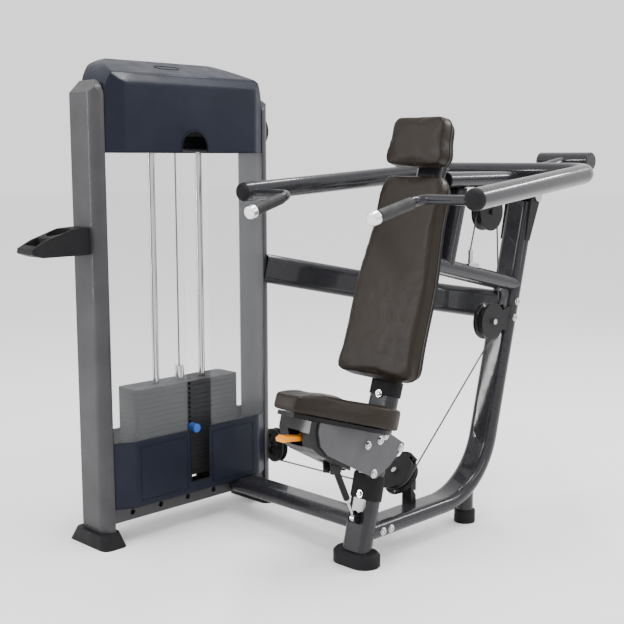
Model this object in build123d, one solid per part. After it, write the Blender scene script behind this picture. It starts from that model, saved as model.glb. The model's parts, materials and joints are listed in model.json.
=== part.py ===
from build123d import *
import math
import os

# Shoulder press machine with a weight stack. Millimetres, +Z up, floor at z = 0.
# The origin is on the floor under the front foot of the seat column. The user faces -Y,
# and the weight tower stands on the -X side.

# Flat-oval structural tube
TUBE_W, TUBE_T, WALL = 100.0, 50.0, 3.0
CLEAR = 0.3

# Seat column and rear frame, side view (y, z)
COLUMN_FOOT, COLUMN_KNEE, COLUMN_TOP = (2.0, 42.0), (88.0, 384.0), (361.0, 1248.0)
BASE_Z, BASE_CORNER_Y, BASE_BEND_R = 93.0, 577.0, 250.0
UPRIGHT_TOP = (817.0, 1052.0)
REAR_FOOT_Y = 530.0
FRONT_FOOT_L, FRONT_FOOT_W, FRONT_FOOT_H = 158.0, 96.0, 42.0
BRACE_FRONT, BRACE_REAR = (259.0, 893.0), (764.0, 778.0)
REST_POST_LOW, REST_POST_HIGH = (378.0, 864.0), (444.0, 1098.0)

# Press arm
PIVOT, HUB_R, HUB_HALF, EAR_X, EAR_R = (829.0, 1076.0), 32.0, 43.0, 44.0, 28.0
LEVER_Z, LEVER_FRONT_Y, LEVER_REAR_Y = 1134.0, 375.0, 885.0
YOKE_R, YOKE_REAR_Y, YOKE_REAR_Z, YOKE_RISE = 30.0, 749.0, 1157.0, 0.0758
YOKE_HALF_REAR, YOKE_HALF_FRONT, YOKE_FRONT_Y, YOKE_BEND_R = 306.0, 446.0, -39.0, 96.0
GRIP_TUBE_R, GRIP_R = 14.0, 17.0
GRIP_ELBOW = (257.0, -24.0, 1093.0)
GRIP_END = (240.0, -182.0, 1051.0)
WEIGHT_Y, WEIGHT_Z, WEIGHT_R, WEIGHT_HALF = 1085.0, 1190.0, 32.0, 104.0

# Pulleys and cable
PULLEY_R, GROOVE_R, PULLEY_W, AXLE_R, CABLE_R, CHEEK_R = 60.0, 50.0, 24.0, 6.0, 2.5, 61.0
CABLE_RUN_R = GROOVE_R + CABLE_R + 0.3
CABLE_X = 24.0
STACK_X, STACK_Y = -710.0, -104.0
TOP_PULLEY_Z, TOP_CABLE_Z = 1294.0, 1294.0 + CABLE_RUN_R
ANCHOR_Y, ANCHOR_Z = 504.0, 912.0
ARM_PULLEY = (CABLE_X, 590.0, 1030.0)
# Corners of the fixed cable, from above the deflection pulley to above the stack
CABLE_CORNERS = [(CABLE_X, 663.8, 720.0), (CABLE_X, 663.8, 647.0), (CABLE_X, 176.0, 186.0),
                 (STACK_X, 288.0, 129.0), (STACK_X, 288.0, TOP_CABLE_Z),
                 (STACK_X, STACK_Y, TOP_CABLE_Z), (STACK_X, STACK_Y, TOP_PULLEY_Z - 10)]

# Weight tower
POST_X0, POST_X1, POST_T = -760.0, -635.0, 38.0
POST_FRONT_Y, POST_REAR_Y = -459.0, 246.0
POST_ROUND, POST_TOP_ROUND, POST_FALL = 35.0, 52.0, 38.0
POST_TOP_FRONT, POST_TOP_REAR = 1434.0, 1408.0
TOWER_FOOT_H = 43.0
SHROUD_X0, SHROUD_X1 = -797.0, -605.0
SHROUD_Z0, SHROUD_TOP, SHROUD_FRONT_R, SHROUD_REAR_R = 1218.0, 1510.0, 130.0, 150.0
COVER_CORNER, COVER_CORNER_R, SHROUD_CREASE_R = 55.0, 40.0, 16.0
GUARD_Z0, GUARD_Z1 = 115.0, 327.0
SHELL, PANEL_T = 4.0, 3.0
TOP_PLATE_Z = 1222.0

# Weight stack
PLATES, SELECTED, PLATE_T, PLATE_PITCH, STACK_Z0 = 20, 10, 15.0, 16.0, 155.0
PLATE_DEPTH, PLATE_LENGTH = 104.0, 422.0
ROD_R, ROD_OFFSET, STEM_R, PIN_R = 11.0, 95.0, 11.0, 4.5

# Seat and pads
PAD_LEAN = math.atan(0.315)
BACK_FOOT, BACK_HEIGHT, BACK_T = (55.5, 562.0), 622.0, 48.0
HEAD_FOOT, HEAD_HEIGHT, HEAD_T, HEAD_LEAN = (232.0, 1184.0), 150.0, 56.0, math.radians(14)
BOARD_T = 12.0
SEAT_REAR, SEAT_LENGTH, SEAT_T, SEAT_TILT = (33.0, 404.5), 360.0, 78.0, math.atan(0.30)
SIDE_PLATE_X, SIDE_PLATE_T = 61.0, 6.0
LINK_UPPER, LINK_LOWER = (29.0, 384.0), (0.0, 289.0)
LINK_SPAN = (60.0, 60.0)
LINK_X, LINK_T = 51.2, 8.0
SPRING_TOP, SPRING_FOOT, SPRING_SPLIT = (-102.0, 331.0), (-12.0, 141.0), 0.35

LOW = (Align.CENTER, Align.CENTER, Align.MIN)
nodes = {}


def along(p, q, t):
    return tuple(a + (b - a) * t for a, b in zip(p, q))


SPRING_JOINT = along(SPRING_FOOT, SPRING_TOP, SPRING_SPLIT)


def wrap(index):
    """Centre and axis of the pulley that fits a corner of the fixed cable."""
    before, corner, after = (Vector(*p) for p in CABLE_CORNERS[index - 1:index + 2])
    back, ahead = (before - corner).normalized(), (after - corner).normalized()
    inward = (back + ahead).normalized()
    half = math.radians(back.get_angle(ahead)) / 2
    return corner + inward * (CABLE_RUN_R / math.sin(half)), ahead.cross(back).normalized()


MID_PULLEY, LOW_PULLEY, TOWER_PULLEY, POST_PULLEY, STACK_PULLEY = (wrap(i) for i in range(1, 6))


def main_solid(shape):
    """The largest solid of a shape, without the offcuts of a cope."""
    return max(shape.solids(), key=lambda s: s.volume)


def group(*shapes):
    """Separate solids that share one node."""
    return Compound([solid for shape in shapes for solid in shape.solids()])


def column_y(z):
    """Centre line of the seat column at a height."""
    low, high = (COLUMN_FOOT, COLUMN_KNEE) if z < COLUMN_KNEE[1] else (COLUMN_KNEE, COLUMN_TOP)
    return low[0] + (high[0] - low[0]) * (z - low[1]) / (high[1] - low[1])


def upright_y(z):
    """Centre line of the rear upright at a height."""
    slope = (UPRIGHT_TOP[0] - BASE_CORNER_Y) / (UPRIGHT_TOP[1] - BASE_Z)
    return BASE_CORNER_Y + slope * (z - BASE_Z)


def flat_tube(path, wide_dir, wide=TUBE_W, thick=TUBE_T):
    """Outer solid and inner core of a flat-oval tube along a path."""
    place = Plane(origin=path @ 0, x_dir=wide_dir, z_dir=path % 0)
    outer = sweep(place * SlotOverall(wide, thick), path=path)
    core = sweep(place * SlotOverall(wide - 2 * WALL, thick - 2 * WALL), path=path)
    return outer, core


def round_bar(path, radius):
    return sweep(Plane(origin=path @ 0, z_dir=path % 0) * Circle(radius), path=path)


def rod(start, end, radius):
    """Round bar between two points."""
    axis = Vector(*end) - Vector(*start)
    return Plane(origin=start, z_dir=axis) * Cylinder(radius, axis.length, align=LOW)


def box(x0, x1, y0, y1, z0, z1):
    size = (x1 - x0, y1 - y0, z1 - z0)
    middle = ((x0 + x1) / 2, (y0 + y1) / 2, (z0 + z1) / 2)
    return Pos(*middle) * Box(*size)


def side_plate(outline, x0, thick, radius=0.0):
    """Flat plate parallel to the YZ plane; outline in (y, z)."""
    face = make_face(Polyline(*[(0, y, z) for y, z in outline], close=True))
    if radius:
        face = fillet(face.vertices(), radius)
    return Pos(x0, 0, 0) * extrude(face, thick, dir=(1, 0, 0))


def bolt(point, direction, head=9.0, shank=14.0):
    """Button-head bolt with a washer; the shank goes into the part."""
    crown = Pos(0, 0, 1.5) * Cylinder(head, 5.5, align=LOW)
    crown = fillet(crown.edges().group_by(Axis.Z)[-1], 3.0)
    crown -= Pos(0, 0, 4) * extrude(RegularPolygon(head * 0.42, 6), 4)
    crown += Cylinder(head + 3.5, 1.5, align=LOW)
    crown += Pos(0, 0, -shank) * Cylinder(4.0, shank, align=LOW)
    return Plane(origin=point, z_dir=direction) * crown


def pulley(centre, axis):
    """Grooved cable pulley with a recessed web and a bore."""
    h, radius, groove = PULLEY_W / 2, PULLEY_R, GROOVE_R
    outline = [(AXLE_R + 0.05, -h), (18, -h), (22, -h + 7), (groove - 12, -h + 7), (groove - 8, -h),
               (radius, -h), (radius, -h + 3), (groove, -3), (groove, 3), (radius, h - 3), (radius, h),
               (groove - 8, h), (groove - 12, h - 7), (22, h - 7), (18, h), (AXLE_R + 0.05, h)]
    face = make_face(Polyline(*[(r, 0, z) for r, z in outline], close=True))
    return Plane(origin=centre, z_dir=axis) * revolve(face, Axis.Z)


def axle(centre, axis, half):
    """Axle bolt with a head and a nut outside its two cheeks."""
    pin = Cylinder(AXLE_R, 2 * half)
    head = Pos(0, 0, half) * extrude(RegularPolygon(10, 6), 7)
    nut = Pos(0, 0, -half) * extrude(RegularPolygon(10, 6), -9)
    return Plane(origin=centre, z_dir=axis) * (pin + head + nut)


# ---------------------------------------------------------------- frame

def seat_column():
    foot_cut = box(-90, 90, -90, 90, -60, FRONT_FOOT_H)
    low_end = along(COLUMN_KNEE, COLUMN_FOOT, 1.2)
    path = Polyline((0, *low_end), (0, *COLUMN_KNEE), (0, *COLUMN_TOP))
    place = Plane(origin=path @ 0, x_dir=(1, 0, 0), z_dir=path % 0)
    outer = sweep(place * SlotOverall(TUBE_W, TUBE_T), path=path, transition=Transition.RIGHT)
    inner = place * SlotOverall(TUBE_W - 2 * WALL, TUBE_T - 2 * WALL)
    core = sweep(inner, path=path, transition=Transition.RIGHT)
    return outer - foot_cut, core


def rear_frame_tube():
    top = (0, *UPRIGHT_TOP)
    path = FilletPolyline((0, 15, BASE_Z), (0, BASE_CORNER_Y, BASE_Z), top, radius=BASE_BEND_R)
    outer, core = flat_tube(path, (1, 0, 0))
    return outer - rod((-90, *PIVOT), (90, *PIVOT), HUB_R + 1.5), core


def lower_crossbeam():
    y = 98.0
    return flat_tube(Line((-643, y, BASE_Z), (-20, y, BASE_Z)), (0, 1, 0))


def upper_crossbeam():
    path = FilletPolyline((-645, 228, 825), (-330, 700, 716), (-10, 724, 708), radius=260)
    return flat_tube(path, (0, 0, 1))


def brace():
    return flat_tube(Line((0, *BRACE_FRONT), (0, *BRACE_REAR)), (1, 0, 0))


def arm_rest_post():
    return flat_tube(Line((0, *REST_POST_LOW), (0, *REST_POST_HIGH)), (1, 0, 0))


def arm_rest_bumper():
    """Rubber block on the rest post, under the lever."""
    top = LEVER_Z - TUBE_T / 2 - CLEAR
    lean = Vector(0, REST_POST_HIGH[0] - REST_POST_LOW[0], REST_POST_HIGH[1] - REST_POST_LOW[1])
    place = Plane(origin=(0, *REST_POST_HIGH), x_dir=(1, 0, 0), z_dir=lean)
    block = place * extrude(SlotOverall(TUBE_W - 8, TUBE_T - 6), 30)
    return block - box(-90, 90, 300, 600, top, top + 90)


def front_foot():
    foot = extrude(SlotOverall(FRONT_FOOT_L, FRONT_FOOT_W), FRONT_FOOT_H)
    foot = chamfer(foot.edges().group_by(Axis.Z)[-1], 9)
    return foot


def rear_foot():
    """Round stub welded under the bend, and its rubber cup."""
    stub = Pos(0, REAR_FOOT_Y, 30) * Cylinder(28, 110, align=LOW)
    cup = Pos(0, REAR_FOOT_Y, 0) * Cylinder(35, 44, align=LOW)
    cup = fillet(cup.edges().group_by(Axis.Z)[-1], 6)
    return stub, cup - stub


def column_collars():
    """Black sleeves where the column passes its fittings."""
    sleeves = []
    for z0, z1, grow in ((190, 262, 4.0), (492, 536, 4.0)):
        low, high = (0, column_y(z0), z0), (0, column_y(z1), z1)
        path = Line(low, high)
        place = Plane(origin=low, x_dir=(1, 0, 0), z_dir=path % 0)
        sleeves.append(extrude(place * SlotOverall(TUBE_W + 2 * grow, TUBE_T + 2 * grow),
                               path.length))
    return Compound(sleeves)


def column_cap():
    """Plastic plug on the top of the column."""
    up = Vector(0, COLUMN_TOP[0] - COLUMN_KNEE[0], COLUMN_TOP[1] - COLUMN_KNEE[1])
    place = Plane(origin=(0, *COLUMN_TOP), x_dir=(1, 0, 0), z_dir=up)
    plug = place * extrude(SlotOverall(TUBE_W, TUBE_T), 5)
    return fillet(plug.edges().group_by(Axis.Z)[-1], 2)


def cable_anchor():
    """Bracket and threaded fitting on the brace that hold the cable's fixed end."""
    z = BRACE_FRONT[1] + (BRACE_REAR[1] - BRACE_FRONT[1]) * (ANCHOR_Y - BRACE_FRONT[0]) \
        / (BRACE_REAR[0] - BRACE_FRONT[0])
    foot = box(CABLE_X - 16, CABLE_X + 16, ANCHOR_Y - 26, ANCHOR_Y + 26, z - 10, z + 32)
    barrel = Pos(CABLE_X, ANCHOR_Y, z + 32) * Cylinder(8, ANCHOR_Z - z - 32, align=LOW)
    return foot + barrel


def pivot_ears():
    """Two cheek plates on the upright that carry the arm's shaft."""
    y, z = PIVOT
    low_y = upright_y(930)
    plates = []
    for side in (1, -1):
        x0 = EAR_X if side > 0 else -EAR_X - 8
        plate = side_plate([(low_y - 14, 930), (low_y + 8, 926), (y + EAR_R - 1, z - 4),
                            (y - EAR_R + 1, z + 4)], x0, 8)
        plate += rod((x0, y, z), (x0 + 8, y, z), EAR_R)
        plates.append(plate - rod((-80, y, z), (80, y, z), 12.5))
    return Compound(plates)


def pivot_shaft():
    """Shaft of the press arm, with a retaining disc outside each ear."""
    shaft = rod((-62, *PIVOT), (62, *PIVOT), 12.45)
    for side in (1, -1):
        shaft += rod((side * (EAR_X + 8.2), *PIVOT), (side * 62, *PIVOT), 19)
    return shaft


def cheek_pair(centre, outline):
    """Two round cheeks with a tab each, beside a pulley whose axle runs along X."""
    y, z = centre[1], centre[2]
    cheeks = []
    for side in (1, -1):
        x0 = CABLE_X + (13.5 if side > 0 else -18.5)
        plate = side_plate(outline, x0, 5, 6) + rod((x0, y, z), (x0 + 5, y, z), CHEEK_R)
        cheeks.append(plate - rod((-50, y, z), (90, y, z), AXLE_R))
    return Compound(cheeks)


def mid_pulley_bracket():
    """Cheeks that hold the deflection pulley in front of the upright."""
    y, z = MID_PULLEY[0].Y, MID_PULLEY[0].Z
    back = upright_y(z)
    return cheek_pair((0, y, z), [(y - 22, z + 14), (y - 22, z - 14), (back, z - 48), (back, z + 48)])


def low_pulley_bracket():
    """Cheeks on a pedestal on the base tube, square to the tilted axle."""
    centre, axis = LOW_PULLEY
    place = Plane(origin=centre, x_dir=(1, 0, 0), z_dir=axis)
    if place.y_dir.Y < 0:
        place = Plane(origin=centre, x_dir=(-1, 0, 0), z_dir=axis)
    reach = PULLEY_R + 16
    lid = Pos(0, reach / 2 - 8) * RectangleRounded(40, reach + 16, 12) + Circle(CHEEK_R)
    bracket = place.offset(PULLEY_W / 2 + 2) * extrude(lid, 5)
    bracket += place.offset(-PULLEY_W / 2 - 7) * extrude(lid, 5)
    bracket += place * (Pos(0, reach - 5, 0) * Box(40, 8, PULLEY_W + 14))
    foot = place * (Pos(0, reach - 5, 0) * Box(40, 8, PULLEY_W + 14))
    bottom = foot.bounding_box()
    bracket += box(bottom.min.X + 4, bottom.max.X - 4, bottom.min.Y + 6, bottom.max.Y - 6,
                   BASE_Z + 10, bottom.min.Z + 16) - place * Cylinder(PULLEY_R + 5, PULLEY_W + 4)
    return bracket - place * Cylinder(AXLE_R, 200)


def frame_bolts():
    """Bolts of the column, base tube, crossbeams and upright."""
    places = [bolt((TUBE_W / 2 - 1, y, z), (1, 0, 0)) for y, z in
              ((64, BASE_Z), (100, BASE_Z), (upright_y(725), 725), (upright_y(672), 672))]
    for z in (210, 503):
        front = column_y(z) - 30.6
        places.append(bolt((0, front, z), (0, -0.96, 0.27), 8, 8))
    return Compound(places)


# ---------------------------------------------------------------- press arm

def yoke_z(y):
    return YOKE_REAR_Z + YOKE_RISE * (y - YOKE_REAR_Y)


def yoke_points():
    front_z = yoke_z(YOKE_FRONT_Y)
    return [(-YOKE_HALF_FRONT, YOKE_FRONT_Y, front_z), (-YOKE_HALF_REAR, YOKE_REAR_Y, YOKE_REAR_Z),
            (YOKE_HALF_REAR, YOKE_REAR_Y, YOKE_REAR_Z), (YOKE_HALF_FRONT, YOKE_FRONT_Y, front_z)]


def arm_yoke():
    path = FilletPolyline(*yoke_points(), radius=YOKE_BEND_R)
    return round_bar(path, YOKE_R), round_bar(path, YOKE_R - WALL)


def yoke_caps():
    """Domed plugs on the two front ends of the yoke."""
    caps = []
    for tip, root in ((0, 1), (3, 2)):
        end, back = Vector(*yoke_points()[tip]), Vector(*yoke_points()[root])
        place = Plane(origin=end, z_dir=end - back)
        dome = Cylinder(YOKE_R, 22, align=LOW)
        caps.append(place * fillet(dome.edges().group_by(Axis.Z)[-1], 20))
    return Compound(caps)


def arm_lever():
    path = Line((0, LEVER_FRONT_Y, LEVER_Z), (0, LEVER_REAR_Y, LEVER_Z))
    return flat_tube(path, (1, 0, 0))


def lever_caps():
    caps = []
    for y, way in ((LEVER_FRONT_Y, -1), (LEVER_REAR_Y, 1)):
        place = Plane(origin=(0, y, LEVER_Z), x_dir=(1, 0, 0), z_dir=(0, way, 0))
        plug = place * extrude(SlotOverall(TUBE_W, TUBE_T), 5)
        face = plug.faces().sort_by(Axis.Y)[-1 if way > 0 else 0]
        caps.append(fillet(face.edges(), 2))
    return Compound(caps)


def pivot_hub():
    """Bearing tube across the lever."""
    y, z = PIVOT
    return rod((-HUB_HALF, y, z), (HUB_HALF, y, z), HUB_R) - rod((-60, y, z), (60, y, z), 18)


def pivot_bushes():
    y, z = PIVOT
    bushes = []
    for side in (1, -1):
        bush = rod((side * 18, y, z), (side * (HUB_HALF + 0.6), y, z), 18)
        bushes.append(bush - rod((-60, y, z), (60, y, z), 12.5))
    return Compound(bushes)


def counterweight():
    weight = rod((-WEIGHT_HALF, WEIGHT_Y, WEIGHT_Z), (WEIGHT_HALF, WEIGHT_Y, WEIGHT_Z), WEIGHT_R)
    return chamfer(weight.edges(), 2.5)


def counterweight_bar():
    start = (0, LEVER_REAR_Y - 60, LEVER_Z + 14)
    return rod(start, (0, WEIGHT_Y, WEIGHT_Z), 20)


def arm_pulley_hanger():
    """Cheeks hanging from the lever."""
    y, z = ARM_PULLEY[1:]
    low, high = z - 18, LEVER_Z - 20
    return cheek_pair(ARM_PULLEY, [(y - 20, low), (y + 20, low), (y + 44, high), (y - 44, high)])


def handle(side):
    """Bent steel handle, its rubber grip and its metal end cap."""
    elbow = (side * GRIP_ELBOW[0], *GRIP_ELBOW[1:])
    tip = (side * GRIP_END[0], *GRIP_END[1:])
    root = (side * (YOKE_HALF_FRONT - 5), *GRIP_ELBOW[1:])
    bar = round_bar(FilletPolyline(root, elbow, tip, radius=34), GRIP_TUBE_R)
    grip = rod(along(elbow, tip, 0.24), along(elbow, tip, 0.99), GRIP_R)
    grip = fillet(grip.edges(), 3)
    cap = rod(tip, along(elbow, tip, 1.16), 19.5)
    cap = fillet(cap.edges(), 5)
    return bar, grip - bar, cap


# ---------------------------------------------------------------- tower

def post_section(low_y, side):
    """D-shaped section: flat outside face, large round towards the seat."""
    face = Pos((POST_X0 + POST_X1) / 2, low_y + POST_T / 2) * Rectangle(POST_X1 - POST_X0, POST_T)
    outer = [v for v in face.vertices() if side * v.Y > side * (low_y + POST_T / 2)]
    corner = max(outer, key=lambda v: v.X)
    return fillet(corner, POST_ROUND)


def tower_post(low_y, side, top):
    """Hollow post, its top sloping down and outwards and rounded towards the seat."""
    face = post_section(low_y, side)
    core = offset(face, -WALL)
    height = top - TOWER_FOOT_H + 8
    post = Pos(0, 0, TOWER_FOOT_H - 8) * (extrude(face, height) - extrude(core, height - 60))
    inner_y = low_y + POST_T if side < 0 else low_y
    slope = Plane(origin=(0, inner_y, top), x_dir=(1, 0, 0), z_dir=(0, side * POST_FALL, POST_T))
    post -= slope * (Pos(0, 0, 200) * Box(2000, 600, 400))
    outline = Pos((POST_X0 + POST_X1) / 2, top / 2) * Rectangle(POST_X1 - POST_X0, top)
    corner = max(outline.vertices(), key=lambda v: v.X + v.Y)
    rounded = Plane.XZ * fillet(corner, POST_TOP_ROUND)
    return post & Pos(0, low_y - 1, 0) * extrude(rounded, POST_T + 2, dir=(0, 1, 0))


def tower_foot(low_y):
    """Flared rubber shoe round the foot of a post."""
    mid_x, mid_y = (POST_X0 + POST_X1) / 2 - 8, low_y + POST_T / 2
    base = Pos(mid_x, mid_y, 0) * RectangleRounded(208, 90, 26)
    crown = Pos(mid_x, mid_y, TOWER_FOOT_H) * RectangleRounded(152, 72, 20)
    return loft([base, crown])


def tower_base_beam():
    beam = box(POST_X0 + 10, -643, POST_FRONT_Y + POST_T, POST_REAR_Y - POST_T, 67, 115)
    for y in range(-350, 60, 110):
        beam -= rod((-660, y, 91), (-600, y, 91), 9)
    return beam


def tower_outline(grow):
    """Plan of the tower's covers between the posts, grown or shrunk by a distance."""
    y0, y1 = POST_FRONT_Y + POST_T + CLEAR, POST_REAR_Y - POST_T - CLEAR
    x0, x1 = SHROUD_X0 - grow, SHROUD_X1 + grow
    ends = (POST_X0 + 2 - grow, POST_X1 - 2 + grow)
    points = [(ends[0], y0), (x0, y0 + COVER_CORNER), (x0, y1 - COVER_CORNER), (ends[0], y1),
              (ends[1], y1), (x1, y1 - COVER_CORNER), (x1, y0 + COVER_CORNER), (ends[1], y0)]
    plan = make_face(Polyline(*points, close=True))
    return fillet([v for v in plan.vertices() if min(abs(v.X - x0), abs(v.X - x1)) < 1], COVER_CORNER_R)


def shell(z0, z1, thick, grow=0.0):
    """Upright wall that follows the plan of the covers, open at its two ends."""
    wall = extrude(tower_outline(grow), z1 - z0) - extrude(tower_outline(grow - thick), z1 - z0)
    return Pos(0, 0, z0) * wall


def access_slot(half, z0, z1):
    """Space of the arch-topped slot on the seat side."""
    slot = box(-660, -590, STACK_Y - half, STACK_Y + half, z0, z1 - half)
    return slot + rod((-660, STACK_Y, z1 - half), (-590, STACK_Y, z1 - half), half)


def shroud_body(inset):
    """Hood: a long roof with round ends, pitched towards the seat, cut to the tower's plan."""
    top, low = SHROUD_TOP - inset, SHROUD_Z0
    y0, y1 = POST_FRONT_Y + POST_T + CLEAR + inset, POST_REAR_Y - POST_T - CLEAR - inset
    gable = Pos((y0 + y1) / 2, (top + low) / 2) * Rectangle(y1 - y0, top - low)
    gable = fillet(min(gable.vertices(), key=lambda v: v.X - v.Y), SHROUD_FRONT_R - inset)
    gable = Plane.YZ * fillet(max(gable.vertices(), key=lambda v: v.X + v.Y), SHROUD_REAR_R - inset)
    pitch = [(SHROUD_X0 - 5, low), (SHROUD_X0 - 5, top - 24), (SHROUD_X0 + 19, top),
             (SHROUD_X1 - 25, top - 52), (SHROUD_X1 + 5, top - 90), (SHROUD_X1 + 5, low)]
    section = Plane.XZ * make_face(Polyline(*pitch, close=True))
    levels = section.vertices().group_by(Axis.Z)
    section = fillet(levels[-1] + levels[-3], SHROUD_CREASE_R)
    roof = Pos(0, y0 - 1, 0) * extrude(section, y1 - y0 + 2, dir=(0, 1, 0))
    hall = Pos(SHROUD_X0 - 10, 0, 0) * extrude(gable, SHROUD_X1 - SHROUD_X0 + 20, dir=(1, 0, 0))
    return roof & hall & Pos(0, 0, low) * extrude(tower_outline(-inset), 400)


def top_shroud():
    """Hood shell, open at the bottom and, up to the round ends, beside the posts."""
    inside = extrude(tower_outline(-SHELL), SHROUD_TOP - SHROUD_REAR_R - 5 - SHROUD_Z0)
    hood = shroud_body(0) - shroud_body(SHELL) - Pos(0, 0, SHROUD_Z0) * inside
    return main_solid(hood - access_slot(52, SHROUD_Z0 - 20, 1286))


def lower_guard():
    guard = shell(GUARD_Z0, GUARD_Z1, SHELL)
    return guard - access_slot(38, 152, 700)


def clear_panel(side):
    """Clear guard panel on the seat side of the tower, before or behind the slot."""
    wall = shell(GUARD_Z1 + CLEAR, SHROUD_Z0 - CLEAR, PANEL_T, -1)
    y0, y1 = (-500, STACK_Y - 50) if side < 0 else (STACK_Y + 50, 300)
    return wall & box(-660, -580, y0, y1, 0, 1500)


def outer_panel():
    wall = shell(GUARD_Z1 + CLEAR, SHROUD_Z0 - CLEAR, PANEL_T, -1)
    return wall & box(-900, -740, -500, 300, 0, 1500)


def tower_top_plate():
    plate = box(POST_X0 + 15, -675, POST_FRONT_Y + POST_T, POST_REAR_Y - POST_T, TOP_PLATE_Z,
                TOP_PLATE_Z + 8)
    return plate - rod((STACK_X, STACK_Y, TOP_PLATE_Z - 5), (STACK_X, STACK_Y, TOP_PLATE_Z + 20), 9)


def top_pulley_bars():
    """Two flat bars from post to post that hold the pulley over the stack."""
    bars = []
    for side in (1, -1):
        x = STACK_X + side * 20
        bar = box(x - 3, x + 3, POST_FRONT_Y + POST_T, POST_REAR_Y - POST_T, TOP_PULLEY_Z - 22,
                  TOP_PULLEY_Z + 22)
        y, z = STACK_PULLEY[0].Y, STACK_PULLEY[0].Z
        bars.append(bar - rod((x - 9, y, z), (x + 9, y, z), AXLE_R))
    return Compound(bars)


def guide_rods():
    low, high = 115, TOP_PLATE_Z
    return Compound([rod((STACK_X, STACK_Y + s * ROD_OFFSET, low),
                         (STACK_X, STACK_Y + s * ROD_OFFSET, high), ROD_R) for s in (1, -1)])


def stack_bumpers():
    """Rubber rings on the guide rods under the stack."""
    rings = []
    for side in (1, -1):
        y = STACK_Y + side * ROD_OFFSET
        ring = rod((STACK_X, y, 115), (STACK_X, y, STACK_Z0 - CLEAR), 26)
        rings.append(ring - rod((STACK_X, y, 100), (STACK_X, y, 200), ROD_R + 0.5))
    return Compound(rings)


def stack_plate(index):
    """One weight plate with its rod holes, stem hole and pin hole."""
    z = STACK_Z0 + index * PLATE_PITCH
    plate = Pos(STACK_X, STACK_Y, z) * Box(PLATE_DEPTH, PLATE_LENGTH, PLATE_T, align=LOW)
    plate = chamfer(plate.edges().filter_by(Axis.Z), 8)
    for offset, radius in ((-ROD_OFFSET, ROD_R + 2), (0, STEM_R + 1.5), (ROD_OFFSET, ROD_R + 2)):
        y = STACK_Y + offset
        plate -= rod((STACK_X, y, z - 5), (STACK_X, y, z + 25), radius)
    middle = z + PLATE_T / 2
    return plate - rod((STACK_X, STACK_Y, middle), (STACK_X + 90, STACK_Y, middle), PIN_R + 0.5)


def pin_z():
    return STACK_Z0 + (PLATES - SELECTED) * PLATE_PITCH + PLATE_T / 2


def selector_stem():
    """Drilled rod through the stack, with its collar over the top plate."""
    top = STACK_Z0 + PLATES * PLATE_PITCH
    stem = rod((STACK_X, STACK_Y, STACK_Z0 + 4), (STACK_X, STACK_Y, top + 10), STEM_R)
    stem += rod((STACK_X, STACK_Y, top + 0.5), (STACK_X, STACK_Y, top + 46), 16)
    for index in range(PLATES):
        z = STACK_Z0 + index * PLATE_PITCH + PLATE_T / 2
        stem -= rod((STACK_X - 20, STACK_Y, z), (STACK_X + 20, STACK_Y, z), PIN_R + 0.5)
    return stem


def selector_pin():
    z = pin_z()
    face_x = STACK_X + PLATE_DEPTH / 2
    pin = rod((STACK_X - STEM_R, STACK_Y, z), (face_x + 12, STACK_Y, z), PIN_R)
    knob = rod((face_x + 4, STACK_Y, z), (face_x + 40, STACK_Y, z), 15)
    return pin + fillet(knob.edges(), 5)


def bottle_holder():
    """Moulded tray with a cup hole on the front post."""
    y1 = POST_FRONT_Y - CLEAR
    side = [(y1, 913), (y1, 996), (y1 - 60, 992), (y1 - 150, 962), (y1 - 193, 940), (y1 - 196, 925),
            (y1 - 160, 913)]
    tray = side_plate(side, -758, 86)
    tray = fillet(tray.edges().filter_by(Axis.X), 5)
    cup = Pos(-715, y1 - 78, 921) * Cylinder(37.5, 120, align=LOW)
    slot = box(-748, -682, y1 - 176, y1 - 132, 925, 1010)
    return tray - cup - slot


# ---------------------------------------------------------------- seat

def link_root(tip):
    return tip[0] + LINK_SPAN[0], tip[1] + LINK_SPAN[1]


def seat_link(tip):
    """Pair of flat links beside the column."""
    root = link_root(tip)
    bars = []
    for side in (1, -1):
        x0 = LINK_X if side > 0 else -LINK_X - LINK_T
        place = Plane(origin=(x0, *tip), x_dir=(0, root[0] - tip[0], root[1] - tip[1]), z_dir=(1, 0, 0))
        span = math.dist(root, tip)
        bar = place * extrude(Pos(span / 2, 0) * SlotCenterToCenter(span, 30), LINK_T)
        bar -= rod((-90, *tip), (90, *tip), 8.05)
        bars.append(bar - rod((-90, *root), (90, *root), 8.05))
    return Compound(bars)


def link_root_pins():
    """Pivot pins of the four links, through the column."""
    return Compound([rod((-60.4, *link_root(p)), (60.4, *link_root(p)), 8) for p in
                     (LINK_UPPER, LINK_LOWER)])


def seat_side_plates():
    outline = [(-220, 480), (-227, 455), (-219, 412), (-191, 380), (10, 271), (72, 299), (137, 346),
               (137, 354), (64, 402), (0, 411), (-52, 428)]
    plates = []
    for side in (1, -1):
        x0 = SIDE_PLATE_X if side > 0 else -SIDE_PLATE_X - SIDE_PLATE_T
        plates.append(side_plate(outline, x0, SIDE_PLATE_T, 6))
    return Compound(plates)


def seat_plate_bolts():
    """Pivot bolts of the links and fixing bolts of the side plates."""
    bolts = [bolt((s * 67, y, z), (s, 0, 0), 9, 5.5) for y, z in
             ((-25, 379), (52, 393), (120, 344)) for s in (1, -1)]
    for place in (LINK_UPPER, LINK_LOWER):
        for side in (1, -1):
            head = bolt((side * 67, *place), (side, 0, 0), 10, 5)
            head += rod((side * 52, *place), (side * 62, *place), 8)
            bolts.append(head)
    return Compound(bolts)


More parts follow.
